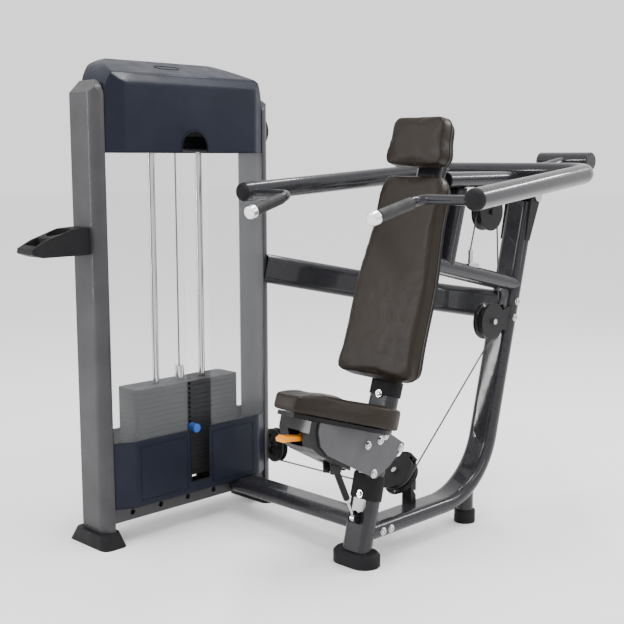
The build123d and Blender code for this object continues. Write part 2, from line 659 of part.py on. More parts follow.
def seat_channel():
    """Folded channel under the seat, between the side plates."""
    outline = [(-249, 488), (-258, 455), (-246, 410), (-215, 384), (-92, 316), (-92, 350), (-180, 400),
               (-205, 425), (-212, 455), (-205, 476)]
    channel = side_plate(outline, -60.7, 121.4)
    channel -= box(-24, 24, -275, -195, 408, 457)
    channel -= box(-17, 17, -150, -50, 290, 385)
    ears = Compound([side_plate([(-125, 300), (-85, 300), (-80, 352), (-130, 372)], x, 5, 5)
                     for x in (-17, 12)])
    return channel + ears


def seat_plane():
    """Plane of the seat's underside: +X across, +Y towards the nose."""
    return Plane(origin=(0, *SEAT_REAR), x_dir=(-1, 0, 0),
                 z_dir=(0, math.sin(SEAT_TILT), math.cos(SEAT_TILT)))


def seat_outline(inset):
    length = SEAT_LENGTH - 2 * inset
    half_rear, half_nose = 143 - inset, 62 - inset
    side = [(half_rear - 14, 0), (half_rear, 26), (half_rear - 3, 90), (half_nose + 40, length * 0.52),
            (half_nose + 8, length * 0.8), (half_nose - 16, length - 8)]
    left = [(-x, y) for x, y in reversed(side)]
    edge = Spline(*side) + Line(side[-1], left[0]) + Spline(*left) + Line(left[-1], side[0])
    return Pos(0, inset) * make_face(edge)


def seat_pad():
    pad = seat_plane().offset(BOARD_T) * extrude(seat_outline(0), SEAT_T - BOARD_T)
    return pad


def seat_board():
    return seat_plane() * extrude(seat_outline(14), BOARD_T)


def release_lever():
    """Sprung lever under the seat nose."""
    blade = side_plate([(-222, 421), (-222, 432), (-300, 447), (-312, 441), (-310, 430), (-298, 431)],
                       -16, 32, 2.5)
    hub = rod((-18, -216, 427), (18, -216, 427), 9)
    return blade + hub - rod((-30, -216, 427), (30, -216, 427), 4.05)


def lever_pin():
    return rod((-60.6, -216, 427), (60.6, -216, 427), 4)


def gas_cylinder():
    top = (0, *along(SPRING_JOINT, SPRING_TOP, 0.86))
    body = rod((0, *SPRING_JOINT), top, 10)
    body += rod(top, (0, *SPRING_TOP), 7)
    body += rod((-9, *SPRING_TOP), (9, *SPRING_TOP), 9)
    start = along(SPRING_FOOT, SPRING_JOINT, -0.2)
    return body - rod((0, *start), (0, *along(SPRING_JOINT, SPRING_TOP, 0.8)), 4.6)


def gas_rod():
    piston = rod((0, *along(SPRING_FOOT, SPRING_JOINT, 0.1)), (0, *along(SPRING_JOINT, SPRING_TOP, 0.7)),
                 4.5)
    eye = rod((-8, *SPRING_FOOT), (8, *SPRING_FOOT), 11) - rod((-20, *SPRING_FOOT), (20, *SPRING_FOOT), 5.05)
    return piston + eye


def spring_bracket():
    """Ears on the column with the pin of the gas spring's foot."""
    y, z = SPRING_FOOT
    ears = []
    for side in (1, -1):
        x0 = 9 if side > 0 else -14
        outline = [(y - 12, z - 9), (y - 12, z + 9), (column_y(z + 20) - 22, z + 20),
                   (column_y(z - 20) - 22, z - 20)]
        ears.append(side_plate(outline, x0, 5, 4))
    pin = rod((-18, y, z), (18, y, z), 5)
    return ears[0] + pin + ears[1]


# ---------------------------------------------------------------- pads

def lean_plane(foot, lean):
    """Plane of a pad's front face: +X across, +Y up the pad, +Z to the rear."""
    up = (0, math.sin(lean), math.cos(lean))
    rear = (0, math.cos(lean), -math.sin(lean))
    return Plane(origin=(0, *foot), x_dir=tuple(Vector(*up).cross(Vector(*rear))), z_dir=rear)


def back_outline(inset):
    half = [(118, 0), (146, 14), (150, 60), (146, 288), (126, 520), (116, 600), (98, 622)]
    half = [(x - inset, inset + y * (1 - 2 * inset / BACK_HEIGHT)) for x, y in half]
    left = [(-x, y) for x, y in reversed(half)]
    return make_face(Spline(*half) + Line(half[-1], left[0]) + Spline(*left) + Line(left[-1], half[0]))


def back_pad():
    return lean_plane(BACK_FOOT, PAD_LEAN) * extrude(back_outline(0), BACK_T)


def back_board():
    return lean_plane(BACK_FOOT, PAD_LEAN).offset(BACK_T) * extrude(back_outline(10), BOARD_T)


def head_outline(inset):
    half = [(94, 0), (109, 14), (105, 75), (97, 137), (84, 150)]
    half = [(x - inset, inset + y * (1 - 2 * inset / HEAD_HEIGHT)) for x, y in half]
    left = [(-x, y) for x, y in reversed(half)]
    return make_face(Spline(*half) + Line(half[-1], left[0]) + Spline(*left) + Line(left[-1], half[0]))


def head_pad():
    return lean_plane(HEAD_FOOT, HEAD_LEAN) * extrude(head_outline(0), HEAD_T)


def head_board():
    return lean_plane(HEAD_FOOT, HEAD_LEAN).offset(HEAD_T) * extrude(head_outline(10), BOARD_T)


def head_bracket():
    """Plate and stub that join the headrest to the column."""
    face = lean_plane(HEAD_FOOT, HEAD_LEAN).offset(HEAD_T + BOARD_T)
    return face * (Pos(0, 50) * extrude(RectangleRounded(90, 70, 8), 40))


# ---------------------------------------------------------------- cables

def main_cable():
    """Fixed part of the cable, from the deflection pulley to the pulley over the stack."""
    return round_bar(FilletPolyline(*CABLE_CORNERS, radius=CABLE_RUN_R), CABLE_R)


def arm_wrap():
    """Cable over the arm's pulley."""
    x, y, z = ARM_PULLEY
    path = ThreePointArc((x, y - CABLE_RUN_R, z), (x, y, z + CABLE_RUN_R), (x, y + CABLE_RUN_R, z))
    return round_bar(path, CABLE_R)


def cable_runs():
    """Straight runs that change length as the arm moves: anchor, arm and stack."""
    x, y, z = ARM_PULLEY
    gap = 1.0
    anchor = rod((CABLE_X, ANCHOR_Y, ANCHOR_Z + gap), (x, y - CABLE_RUN_R, z - gap), CABLE_R)
    arm_low = CABLE_CORNERS[0]
    arm = rod((x, arm_low[1], arm_low[2] + gap), (x, y + CABLE_RUN_R, z - gap), CABLE_R)
    top = STACK_Z0 + PLATES * PLATE_PITCH + 46
    stack = rod((STACK_X, STACK_Y, top + gap), (STACK_X, STACK_Y, TOP_PULLEY_Z - 10 - gap), CABLE_R)
    return anchor, arm, stack


def tower_pulley_spindle():
    """Stub axle of the low tower pulley, bolted to the rear post."""
    centre, axis = TOWER_PULLEY
    if axis.Y < 0:
        axis = axis * -1
    root = centre - axis * ((centre.Y - POST_REAR_Y) / axis.Y)
    spindle = rod(tuple(root), tuple(centre + axis * 20), AXLE_R)
    spindle += rod(tuple(root), tuple(centre - axis * 13), 13)
    spindle += rod(tuple(centre + axis * 12.6), tuple(centre + axis * 20), 13)
    return spindle - box(-900, -500, 0, POST_REAR_Y, 0, 400)


# ---------------------------------------------------------------- assembly

def build_frame():
    tubes = {
        "seat_column": seat_column(), "rear_frame_tube": rear_frame_tube(),
        "lower_crossbeam": lower_crossbeam(), "upper_crossbeam": upper_crossbeam(),
        "brace": brace(), "arm_rest_post": arm_rest_post(),
    }
    outer = {name: pair[0] for name, pair in tubes.items()}
    outer["rear_frame_tube"] -= outer["seat_column"]
    outer["lower_crossbeam"] -= outer["rear_frame_tube"]
    outer["upper_crossbeam"] -= outer["rear_frame_tube"]
    outer["brace"] = outer["brace"] - outer["seat_column"] - outer["rear_frame_tube"]
    outer["arm_rest_post"] -= outer["brace"]
    outer = {name: main_solid(shape) for name, shape in outer.items()}
    column, rear, beam = outer["seat_column"], outer["rear_frame_tube"], outer["brace"]
    bolts, pins = frame_bolts(), link_root_pins()
    stub, cup = rear_foot()
    for name, pair in tubes.items():
        nodes[name] = main_solid(outer[name] - pair[1])
    cable_slot = box(CABLE_X - 9, CABLE_X + 9, 632, 680, 740, 900)
    nodes["brace"] -= cable_slot
    nodes["rear_frame_tube"] -= bolts
    nodes["seat_column"] = nodes["seat_column"] - bolts - pins
    nodes["rear_frame_tube"] = group(nodes["rear_frame_tube"], stub - rear)
    nodes["frame_feet"] = group(front_foot(), cup - rear)
    nodes["frame_trim"] = group(column_collars() - column - bolts, column_cap(), arm_rest_bumper())
    nodes["frame_fasteners"] = group(bolts, main_solid(cable_anchor() - beam))
    nodes["pivot_ears"] = pivot_ears() - rear
    nodes["pivot_shaft"] = pivot_shaft()
    nodes["pulley_brackets"] = group(mid_pulley_bracket() - rear, main_solid(low_pulley_bracket() - rear))
    nodes["seat_frame_pins"] = group(pins, spring_bracket() - column)
    nodes["back_pad"] = back_pad()
    nodes["head_pad"] = head_pad()
    nodes["pad_boards"] = group(back_board() - column, head_board(), head_bracket() - column)
    return column, rear


def build_arm():
    lever, yoke = arm_lever(), arm_yoke()
    lever_outer = main_solid(lever[0] - yoke[0])
    caps = yoke_caps()
    bar = counterweight_bar()
    weight = counterweight()
    handles = [handle(side) for side in (1, -1)]
    nodes["arm_lever"] = main_solid(lever_outer - lever[1])
    nodes["arm_yoke"] = main_solid(yoke[0] - yoke[1])
    nodes["arm_end_caps"] = group(caps, lever_caps() - bar)
    nodes["pivot_bearing"] = group(main_solid(pivot_hub() - lever_outer), pivot_bushes())
    nodes["counterweight"] = group(weight, main_solid(bar - lever[0] - weight))
    nodes["arm_pulley_hanger"] = group(arm_pulley_hanger() - lever_outer, axle(ARM_PULLEY, (1, 0, 0), 18.5))
    nodes["handle_bars"] = group(*(h[0] - yoke[0] - caps for h in handles))
    nodes["hand_grips"] = group(*(h[1] for h in handles))
    nodes["grip_caps"] = group(*(h[2] - h[1] - h[0] for h in handles))
    nodes["cable_arm_wrap"] = arm_wrap()


def build_pulleys():
    nodes["arm_pulley"] = pulley(ARM_PULLEY, (1, 0, 0))
    nodes["mid_pulley"] = pulley(*MID_PULLEY)
    nodes["low_pulley"] = pulley(*LOW_PULLEY)
    nodes["tower_pulley"] = pulley(*TOWER_PULLEY)
    nodes["post_pulley"] = pulley(*POST_PULLEY)
    nodes["stack_pulley"] = pulley(*STACK_PULLEY)
    nodes["pulley_axles"] = group(axle(*MID_PULLEY, 18.5), axle(*LOW_PULLEY, 19),
                                  axle(*STACK_PULLEY, 23), axle(*POST_PULLEY, 30), tower_pulley_spindle())
    nodes["cable_main"] = main_cable()
    nodes["cable_anchor_run"], nodes["cable_arm_run"], nodes["cable_stack_run"] = cable_runs()


def build_tower():
    front = tower_post(POST_FRONT_Y, -1, POST_TOP_FRONT)
    rear = tower_post(POST_REAR_Y - POST_T, 1, POST_TOP_REAR)
    window = box(STACK_X - 17, STACK_X + 17, 150, 320, TOP_PULLEY_Z - 68, TOP_PULLEY_Z + 68)
    solid_rear = Pos(0, 0, TOWER_FOOT_H) * extrude(post_section(POST_REAR_Y - POST_T, 1), 1300)
    nodes["tower_post_front"] = front
    nodes["tower_post_rear"] = main_solid(rear - window - axle(*POST_PULLEY, 30))
    nodes["upper_crossbeam"] = main_solid(nodes["upper_crossbeam"] - solid_rear)
    shoes = [tower_foot(POST_FRONT_Y) - (Pos(0, 0, 35) * extrude(post_section(POST_FRONT_Y, -1), 40)),
             tower_foot(POST_REAR_Y - POST_T) - (Pos(0, 0, -8) * solid_rear)]
    nodes["tower_feet"] = group(*shoes)
    nodes["tower_crossmembers"] = group(tower_base_beam(), tower_top_plate(), top_pulley_bars())
    nodes["top_shroud"] = top_shroud()
    nodes["lower_guard"] = lower_guard() - lower_crossbeam()[0]
    nodes["clear_panels"] = group(clear_panel(-1), clear_panel(1), outer_panel())
    nodes["guide_rods"] = guide_rods()
    nodes["stack_bumpers"] = stack_bumpers()
    plates = [stack_plate(i) for i in range(PLATES)]
    nodes["resting_plates"] = group(*plates[:PLATES - SELECTED])
    nodes["lifted_plates"] = group(*plates[PLATES - SELECTED:])
    nodes["selector_stem"] = selector_stem()
    nodes["selector_pin"] = selector_pin()
    nodes["bottle_holder"] = bottle_holder()


def build_seat():
    nodes["seat_upper_link"] = seat_link(LINK_UPPER)
    nodes["seat_lower_link"] = seat_link(LINK_LOWER)
    bolts, pin, board = seat_plate_bolts(), lever_pin(), seat_board()
    nodes["seat_fasteners"] = group(bolts, pin)
    nodes["seat_base"] = group(board, seat_channel() - board - pin)
    nodes["seat_pad"] = seat_pad()
    nodes["seat_side_plates"] = seat_side_plates() - bolts - board
    nodes["release_lever"] = release_lever()
    nodes["gas_cylinder"] = gas_cylinder()
    nodes["gas_rod"] = gas_rod()


build_frame()
build_arm()
build_pulleys()
build_tower()
build_seat()
os.makedirs("parts", exist_ok=True)
for name, shape in nodes.items():
    export_step(shape, f"parts/{name}.step")
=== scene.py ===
import json
import math

import bmesh
import bpy
from mathutils import Matrix, Vector
from mathutils.bvhtree import BVHTree


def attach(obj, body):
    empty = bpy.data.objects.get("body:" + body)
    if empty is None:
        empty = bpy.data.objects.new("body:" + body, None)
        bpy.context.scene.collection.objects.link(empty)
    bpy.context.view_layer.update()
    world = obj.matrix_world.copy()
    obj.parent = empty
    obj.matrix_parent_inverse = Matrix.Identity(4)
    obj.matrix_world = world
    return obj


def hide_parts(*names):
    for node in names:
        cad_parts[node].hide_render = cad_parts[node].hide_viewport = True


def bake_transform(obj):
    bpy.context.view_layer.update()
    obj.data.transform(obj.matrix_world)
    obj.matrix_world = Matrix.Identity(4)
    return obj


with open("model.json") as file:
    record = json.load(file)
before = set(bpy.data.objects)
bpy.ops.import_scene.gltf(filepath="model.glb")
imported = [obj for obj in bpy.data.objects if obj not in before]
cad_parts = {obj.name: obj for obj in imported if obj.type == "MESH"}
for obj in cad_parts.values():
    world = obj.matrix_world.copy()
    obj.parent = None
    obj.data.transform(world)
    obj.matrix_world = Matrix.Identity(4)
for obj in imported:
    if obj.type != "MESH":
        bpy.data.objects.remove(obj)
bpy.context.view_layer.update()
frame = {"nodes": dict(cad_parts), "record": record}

MM = 0.001
nodes = frame["nodes"]
scene = bpy.context.scene

# Camera of the photograph: place in metres, turns in degrees, lens and sensor in millimetres
CAMERA_PLACE = (2.118, -2.282, 1.202)
CAMERA_AZIMUTH, CAMERA_PITCH = 44.316, 8.094
CAMERA_LENS, CAMERA_SHIFT, CAMERA_SENSOR = 62.47, -0.0293, 36

# Pads: foot of the front face (y, z), lean, thickness and half outline (x, up), in millimetres
PAD_LEAN, HEAD_LEAN = math.atan(0.315), math.radians(14)
BACK_FOOT, BACK_T = (55.5, 562.0), 48.0
BACK_HALF = [(118, 0), (146, 14), (150, 60), (146, 288), (126, 520), (116, 600), (98, 622)]
HEAD_FOOT, HEAD_T = (232.0, 1184.0), 56.0
HEAD_HALF = [(94, 0), (109, 14), (105, 75), (97, 137), (84, 150)]
SEAT_REAR, SEAT_LENGTH, SEAT_T, SEAT_TILT = (33.0, 404.5), 360.0, 78.0, math.atan(0.30)
BOARD_T = 12.0

# Seat: depth and half width of its dish, the nose's drop, and where the nose starts and how long it is,
# as shares of the seat's length
SEAT_DISH, DISH_HALF, NOSE_DROP, NOSE_START, NOSE_LENGTH = 15.0, 125.0, 20.0, 0.70, 0.30

# Foam: voxel size, what comes off all round before it swells, depth held still at the board, share filled
VOXEL, FOAM_INSET, HELD_DEPTH, FOAM_FILL = 5, 2.0, 6, 0.85
FOAM_PRESSURE, CLOTH_FRAMES, LAST_RELAX = 4.0, 20, 5

# Piped seams: radius, height over the leather, and depth as a share of the pad's thickness
WELT_R, WELT_LIFT, WELT_SHARE = 1.5, 0.2, 0.72

# Cables: radius and places, then each stretch from its fixed end to its moving end
CABLE_R, CABLE_X, STACK_X, STACK_Y = 2.5, 24.0, -710.0, -104.0
ANCHOR_STRETCH = ((CABLE_X, 504, 912), (CABLE_X, 537.2, 1030))
ARM_STRETCH = ((CABLE_X, 663.8, 719), (CABLE_X, 642.8, 1030))
STACK_STRETCH = ((STACK_X, STACK_Y, 1285), (STACK_X, STACK_Y, 520))
STILL_RINGS, ZONE_RINGS, TUBE_SIDES = 8, 40, 16

# Tower: x that the probes start from, the selector slots, the hood's oval and the guard's borders
PROBE_X, TRIM_LIFT = -600, 0.4
HOOD_SLOT_HALF, HOOD_ARCH_Z, HOOD_SLOT_FOOT, ARCH_STEPS, HOOD_TRIM_R = 52, 1234, 1219, 24, 1.6
GUARD_SLOT_HALF, GUARD_SLOT_LOW, GUARD_SLOT_HIGH, GUARD_TRIM_R = 38, 153, 326, 1.4
OVAL_X, OVAL_Y, OVAL_PROBE_Z, OVAL_STEPS = -700, STACK_Y - 30, 1500, 64
OVAL_HALF_LONG, OVAL_HALF_WIDE, OVAL_LIFT, OVAL_R = 46.0, 17.0, 0.2, 1.3
BORDER_FRONT, BORDER_GAP, BORDER_REAR, BORDER_LOW, BORDER_HIGH = -340, 52, 126, 134, 306
BORDER_STEPS, BORDER_LIFT, BORDER_R = 8, 0.1, 1.1

# Welds: the gap that counts as touching, the bead's radius, sectors in half a turn, fewest points
TOUCH, WELD_R, HALF_TURN_SECTORS, FEWEST_TOUCHING, FEWEST_SECTORS = 0.4, 2.2, 12, 6, 9
WELDS = (("weld_0", "lower_crossbeam", "rear_frame_tube", "frame"),
         ("weld_1", "brace", "seat_column", "frame"),
         ("weld_4", "upper_crossbeam", "rear_frame_tube", "frame"),
         ("weld_arm", "arm_lever", "arm_yoke", "press_arm"))

# Studio: lights point at AIM and have a name, a place, a size and a power
SKY_STRENGTH, FLOOR_HALF, FLOOR_WHITE, FLOOR_ROUGH = 1.45, 30, 0.95, 0.8
AIM = (-0.1, 0.3, 0.8)
LIGHTS = (("key", (-1.5, -4.2, 3.6), (1.6, 2.4), 85),
          ("top_strip", (0.2, 0.6, 3.6), (3.2, 0.12), 90),
          ("rear_strip", (1.6, 3.4, 2.9), (3.0, 0.12), 80),
          ("side_strip", (3.4, 0.6, 2.6), (0.12, 3.0), 24),
          ("left_strip", (-2.6, -3.0, 1.6), (0.12, 2.6), 45))


# ---------------------------------------------------------------- materials

# Colour sockets of the mix node: first, second, result
MIX_FIRST, MIX_SECOND, MIX_RESULT = 6, 7, 2


class Graph:
    """Small helper that adds and links shader nodes."""

    def __init__(self, name):
        self.material = bpy.data.materials.new(name)
        self.material.use_nodes = True
        self.tree = self.material.node_tree
        self.shader = self.tree.nodes["Principled BSDF"]
        self.place = self.add("ShaderNodeTexCoord").outputs["Object"]

    def add(self, kind, **settings):
        node = self.tree.nodes.new(kind)
        for key, value in settings.items():
            setattr(node, key, value)
        return node

    def link(self, out, into):
        self.tree.links.new(out, into)

    def stretched(self, scale):
        mapping = self.add("ShaderNodeMapping")
        mapping.inputs["Scale"].default_value = scale
        self.link(self.place, mapping.inputs["Vector"])
        return mapping.outputs["Vector"]

    def noise(self, scale, detail=3.0, rough=0.55, vector=None):
        node = self.add("ShaderNodeTexNoise")
        node.inputs["Scale"].default_value = scale
        node.inputs["Detail"].default_value = detail
        node.inputs["Roughness"].default_value = rough
        self.link(vector or self.place, node.inputs["Vector"])
        return node.outputs["Fac"]

    def spread(self, value, low, high, start=0.3, end=0.7):
        node = self.add("ShaderNodeMapRange")
        node.inputs["From Min"].default_value = start
        node.inputs["From Max"].default_value = end
        node.inputs["To Min"].default_value = low
        node.inputs["To Max"].default_value = high
        self.link(value, node.inputs["Value"])
        return node.outputs["Result"]

    def mix(self, value, first, second):
        node = self.add("ShaderNodeMix", data_type="RGBA")
        self.link(value, node.inputs[0])
        for index, colour in ((MIX_FIRST, first), (MIX_SECOND, second)):
            socket = node.inputs[index]
            if isinstance(colour, tuple):
                socket.default_value = (*colour, 1.0)
            else:
                self.link(colour, socket)
        return node.outputs[MIX_RESULT]

    def bump(self, height, strength, depth, normal=None):
        node = self.add("ShaderNodeBump")
        node.inputs["Strength"].default_value = strength
        node.inputs["Distance"].default_value = depth
        self.link(height, node.inputs["Height"])
        if normal is not None:
            self.link(normal, node.inputs["Normal"])
        return node.outputs["Normal"]

    def rounded(self, radius):
        node = self.add("ShaderNodeBevel", samples=4)
        node.inputs["Radius"].default_value = radius
        return node.outputs["Normal"]

    def finish(self, colour, rough, normal, metal=0.0, coat=0.0, coat_rough=0.08, spec=0.5, alpha=1.0):
        for value, name in ((colour, "Base Color"), (rough, "Roughness"), (normal, "Normal")):
            self.link(value, self.shader.inputs[name])
        self.shader.inputs["Metallic"].default_value = metal
        self.shader.inputs["Coat Weight"].default_value = coat
        self.shader.inputs["Coat Roughness"].default_value = coat_rough
        self.shader.inputs["Specular IOR Level"].default_value = spec
        self.shader.inputs["Alpha"].default_value = alpha
        return self.material


def tint(colour, factor):
    return tuple(min(1.0, c * factor) for c in colour)


def paint(name, colour, rough=0.3, metal=0.25, coat=0.6, peel=0.06, edge=2.0 * MM, spec=0.12):
    """Powder coat: soft mottling, bright flecks, orange peel and rounded edges."""
    g = Graph(name)
    mottle = g.spread(g.noise(9.0), 0.0, 1.0)
    fleck = g.spread(g.noise(2400.0, 1.0), 0.0, 0.35, 0.55, 0.75)
    base = g.mix(mottle, tint(colour, 0.88), tint(colour, 1.14))
    base = g.mix(fleck, base, tint(colour, 1.35))
    shine = g.spread(g.noise(26.0, 4.0), rough * 0.82, rough * 1.25)
    normal = g.bump(g.noise(420.0, 2.0), peel, 0.3 * MM, g.rounded(edge))
    return g.finish(base, shine, normal, metal=metal, coat=coat, coat_rough=0.045, spec=spec)


def moulded(name, colour, rough=0.5, grain=0.12, scale=1500.0, edge=1.2 * MM, coat=0.0):
    """Moulded plastic or rubber with a fine grain and a little dust."""
    g = Graph(name)
    base = g.mix(g.spread(g.noise(7.0, 4.0), 0.0, 1.0), tint(colour, 0.86), tint(colour, 1.18))
    dust = g.spread(g.noise(60.0, 6.0, 0.7), 0.0, 0.18, 0.52, 0.8)
    base = g.mix(dust, base, tint(colour, 2.2))
    shine = g.spread(g.noise(18.0, 4.0), rough * 0.85, min(1.0, rough * 1.2))
    normal = g.bump(g.noise(scale, 2.0), grain, 0.25 * MM, g.rounded(edge))
    return g.finish(base, shine, normal, coat=coat, spec=0.12)


def brushed(name, colour, rough=0.25, along=(1.0, 1.0, 60.0), edge=0.6 * MM):
    """Bare metal with drawn or turned marks."""
    g = Graph(name)
    lines = g.noise(220.0, 3.0, vector=g.stretched(along))
    base = g.mix(g.spread(lines, 0.0, 1.0), tint(colour, 0.84), tint(colour, 1.05))
    shine = g.spread(lines, rough * 0.7, rough * 1.4)
    normal = g.bump(lines, 0.08, 0.15 * MM, g.rounded(edge))
    return g.finish(base, shine, normal, metal=1.0)


def leather(name, colour):
    """Coated upholstery: pebble grain, fine creases and a slow drift of colour."""
    g = Graph(name)
    drift = g.spread(g.noise(5.0, 4.0), 0.0, 1.0)
    base = g.mix(drift, tint(colour, 0.8), tint(colour, 1.25))
    pebble = g.add("ShaderNodeTexVoronoi", feature="SMOOTH_F1")
    pebble.inputs["Scale"].default_value = 620.0
    g.link(g.place, pebble.inputs["Vector"])
    pores = g.spread(pebble.outputs["Distance"], 0.0, 1.0, 0.1, 0.6)
    base = g.mix(pores, tint(colour, 0.72), base)
    creases = g.noise(90.0, 5.0, 0.62)
    shine = g.spread(g.noise(40.0, 4.0), 0.34, 0.5)
    normal = g.bump(creases, 0.10, 1.2 * MM)
    normal = g.bump(pebble.outputs["Distance"], 0.28, 0.5 * MM, normal)
    return g.finish(base, shine, normal, coat=0.04, coat_rough=0.3, spec=0.18)


def frosted(name):
    """Frosted clear sheet."""
    g = Graph(name)
    haze = g.spread(g.noise(3.0, 3.0), 0.0, 1.0)
    base = g.mix(haze, (0.40, 0.42, 0.44), (0.55, 0.57, 0.59))
    shine = g.spread(g.noise(30.0, 3.0), 0.22, 0.38)
    normal = g.bump(g.noise(900.0, 2.0), 0.05, 0.2 * MM)
    return g.finish(base, shine, normal, coat=0.3, coat_rough=0.05, spec=0.3, alpha=0.07)


def coated_cable(name):
    """Nylon-coated steel rope: the lay of the strands shows through the skin."""
    g = Graph(name)
    lay = g.add("ShaderNodeTexWave", bands_direction="DIAGONAL")
    lay.inputs["Scale"].default_value = 160.0
    lay.inputs["Distortion"].default_value = 0.6
    g.link(g.place, lay.inputs["Vector"])
    base = g.mix(lay.outputs["Fac"], (0.012, 0.012, 0.013), (0.035, 0.035, 0.037))
    shine = g.spread(g.noise(50.0), 0.3, 0.45)
    return g.finish(base, shine, g.bump(lay.outputs["Fac"], 0.3, 0.4 * MM), coat=0.2)


def grip_rubber(name):
    """Grip sleeve with a pebbled surface."""
    g = Graph(name)
    pebble = g.add("ShaderNodeTexVoronoi", feature="F1")
    pebble.inputs["Scale"].default_value = 380.0
    g.link(g.place, pebble.inputs["Vector"])
    base = g.mix(g.spread(g.noise(20.0), 0.0, 1.0), (0.010, 0.010, 0.0105), (0.021, 0.021, 0.022))
    shine = g.spread(g.noise(60.0), 0.5, 0.7)
    return g.finish(base, shine, g.bump(pebble.outputs["Distance"], 0.5, 0.8 * MM), spec=0.4)


FINISHES = {
    "frame_paint": paint("graphite_gloss", (0.019, 0.019, 0.022), rough=0.28, metal=0.15, coat=0.42),
    "post_paint": paint("grey_metallic", (0.052, 0.050, 0.053), rough=0.36, metal=0.35, coat=0.12),
    "black_metal": paint("satin_black", (0.007, 0.007, 0.008), rough=0.38, metal=0.1, coat=0.15,
                         edge=1.0 * MM),
    "shroud_plastic": moulded("shroud_blue_grey", (0.0078, 0.0100, 0.0185), rough=0.42,
                              edge=13.0 * MM, coat=0.05),
    "clear_plastic": frosted("frosted_sheet"),
    "rubber": moulded("black_rubber", (0.011, 0.011, 0.012), rough=0.62, grain=0.25, scale=900.0,
                      edge=2.0 * MM),
    "bright_steel": brushed("bright_steel", (0.56, 0.56, 0.57), rough=0.14),
    "upholstery": leather("brown_leatherette", (0.0150, 0.0098, 0.0062)),
    "pad_board": moulded("pad_board_black", (0.010, 0.010, 0.011), rough=0.55),
    "weight_plate": paint("plate_coating", (0.027, 0.027, 0.029), rough=0.5, metal=0.2, coat=0.05,
                          edge=1.0 * MM),
    "pulley_plastic": moulded("pulley_nylon", (0.010, 0.010, 0.011), rough=0.36, edge=0.8 * MM,
                              coat=0.2),
    "cable": coated_cable("cable_coating"),
    "aluminium": brushed("turned_aluminium", (0.86, 0.86, 0.87), rough=0.3, along=(60.0, 1.0, 1.0)),
    "release_yellow": moulded("release_yellow", (0.80, 0.27, 0.01), rough=0.4, coat=0.3),
    "knob_blue": moulded("knob_blue", (0.03, 0.09, 0.36), rough=0.35, coat=0.3),
    "plate_grey": paint("side_plate_grey", (0.076, 0.073, 0.078), rough=0.42, metal=0.3, coat=0.06,
                        edge=1.0 * MM),
}
GRIP = grip_rubber("grip_sleeve")


def dress(obj, material):
    obj.data.materials.clear()
    obj.data.materials.append(material)


for entry in frame["record"]["subparts"]:
    dress(nodes[entry["node"]], FINISHES[entry["material_slot"]])
dress(nodes["hand_grips"], GRIP)


# ---------------------------------------------------------------- helpers

def add_object(name, mesh, material):
    obj = bpy.data.objects.new(name, mesh)
    scene.collection.objects.link(obj)
    dress(obj, material)
    return obj


def applied(obj):
    """Replace an object's mesh by its evaluated one and drop the modifiers."""
    depsgraph = bpy.context.evaluated_depsgraph_get()
    mesh = bpy.data.meshes.new_from_object(obj.evaluated_get(depsgraph))
    obj.modifiers.clear()
    obj.data = mesh


def smooth_shading(obj):
    for polygon in obj.data.polygons:
        polygon.use_smooth = True


def tube_mesh(name, start, end, radius, marks):
    """Straight tube with a ring at each mark, a fraction of its length."""
    start, end = Vector(start) * MM, Vector(end) * MM
    turn = (end - start).to_track_quat("Z", "Y").to_matrix()
    bm = bmesh.new()
    previous = None
    for mark in marks:
        centre = start.lerp(end, mark)
        loop = []
        for side in range(TUBE_SIDES):
            angle = 2 * math.pi * side / TUBE_SIDES
            rim = turn @ Vector((math.cos(angle), math.sin(angle), 0)) * radius * MM
            loop.append(bm.verts.new(centre + rim))
        if previous:
            for side in range(TUBE_SIDES):
                after = (side + 1) % TUBE_SIDES
                bm.faces.new((previous[side], previous[after], loop[after], loop[side]))
        else:
            bm.faces.new(list(reversed(loop)))
        previous = loop
    bm.faces.new(previous)
    mesh = bpy.data.meshes.new(name)
    bm.to_mesh(mesh)
    bm.free()
    return mesh


def surface_tree(obj):
    bm = bmesh.new()
    bm.from_mesh(obj.data)
    tree = BVHTree.FromBMesh(bm)
    bm.free()
    return tree


def bead(name, places, radius, slot, body, closed=True):
    """Round bead through places in metres, with its radius in millimetres; it rides on a body."""
    curve = bpy.data.curves.new(name, "CURVE")
    curve.dimensions = "3D"
    curve.bevel_depth = radius * MM
    curve.bevel_resolution = 3
    spline = curve.splines.new("POLY")
    spline.points.add(len(places) - 1)
    for target, place in zip(spline.points, places):
        target.co = (*place, 1.0)
    spline.use_cyclic_u = closed
    line = bpy.data.objects.new(name, curve)
    scene.collection.objects.link(line)
    mesh = bpy.data.meshes.new_from_object(line.evaluated_get(bpy.context.evaluated_depsgraph_get()))
    bpy.data.objects.remove(line)
    obj = add_object(name, mesh, FINISHES[slot])
    smooth_shading(obj)
    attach(obj, body)


# ---------------------------------------------------------------- pads

def pad_matrix(foot, lean):
    """Pad frame to world: X across, Y up the pad, Z to the rear; millimetres in."""
    up = Vector((0, math.sin(lean), math.cos(lean)))
    rear = Vector((0, math.cos(lean), -math.sin(lean)))
    across = up.cross(rear)
    turn = Matrix((across, up, rear)).transposed().to_4x4()
    return Matrix.Translation(Vector((0, *foot)) * MM) @ turn @ Matrix.Scale(MM, 4)


def seat_matrix():
    """Seat frame to world: X across, Y towards the nose, Z up; millimetres in."""
    up = Vector((0, math.sin(SEAT_TILT), math.cos(SEAT_TILT)))
    across = Vector((-1, 0, 0))
    ahead = up.cross(across)
    turn = Matrix((across, ahead, up)).transposed().to_4x4()
    return Matrix.Translation(Vector((0, *SEAT_REAR)) * MM) @ turn @ Matrix.Scale(MM, 4)


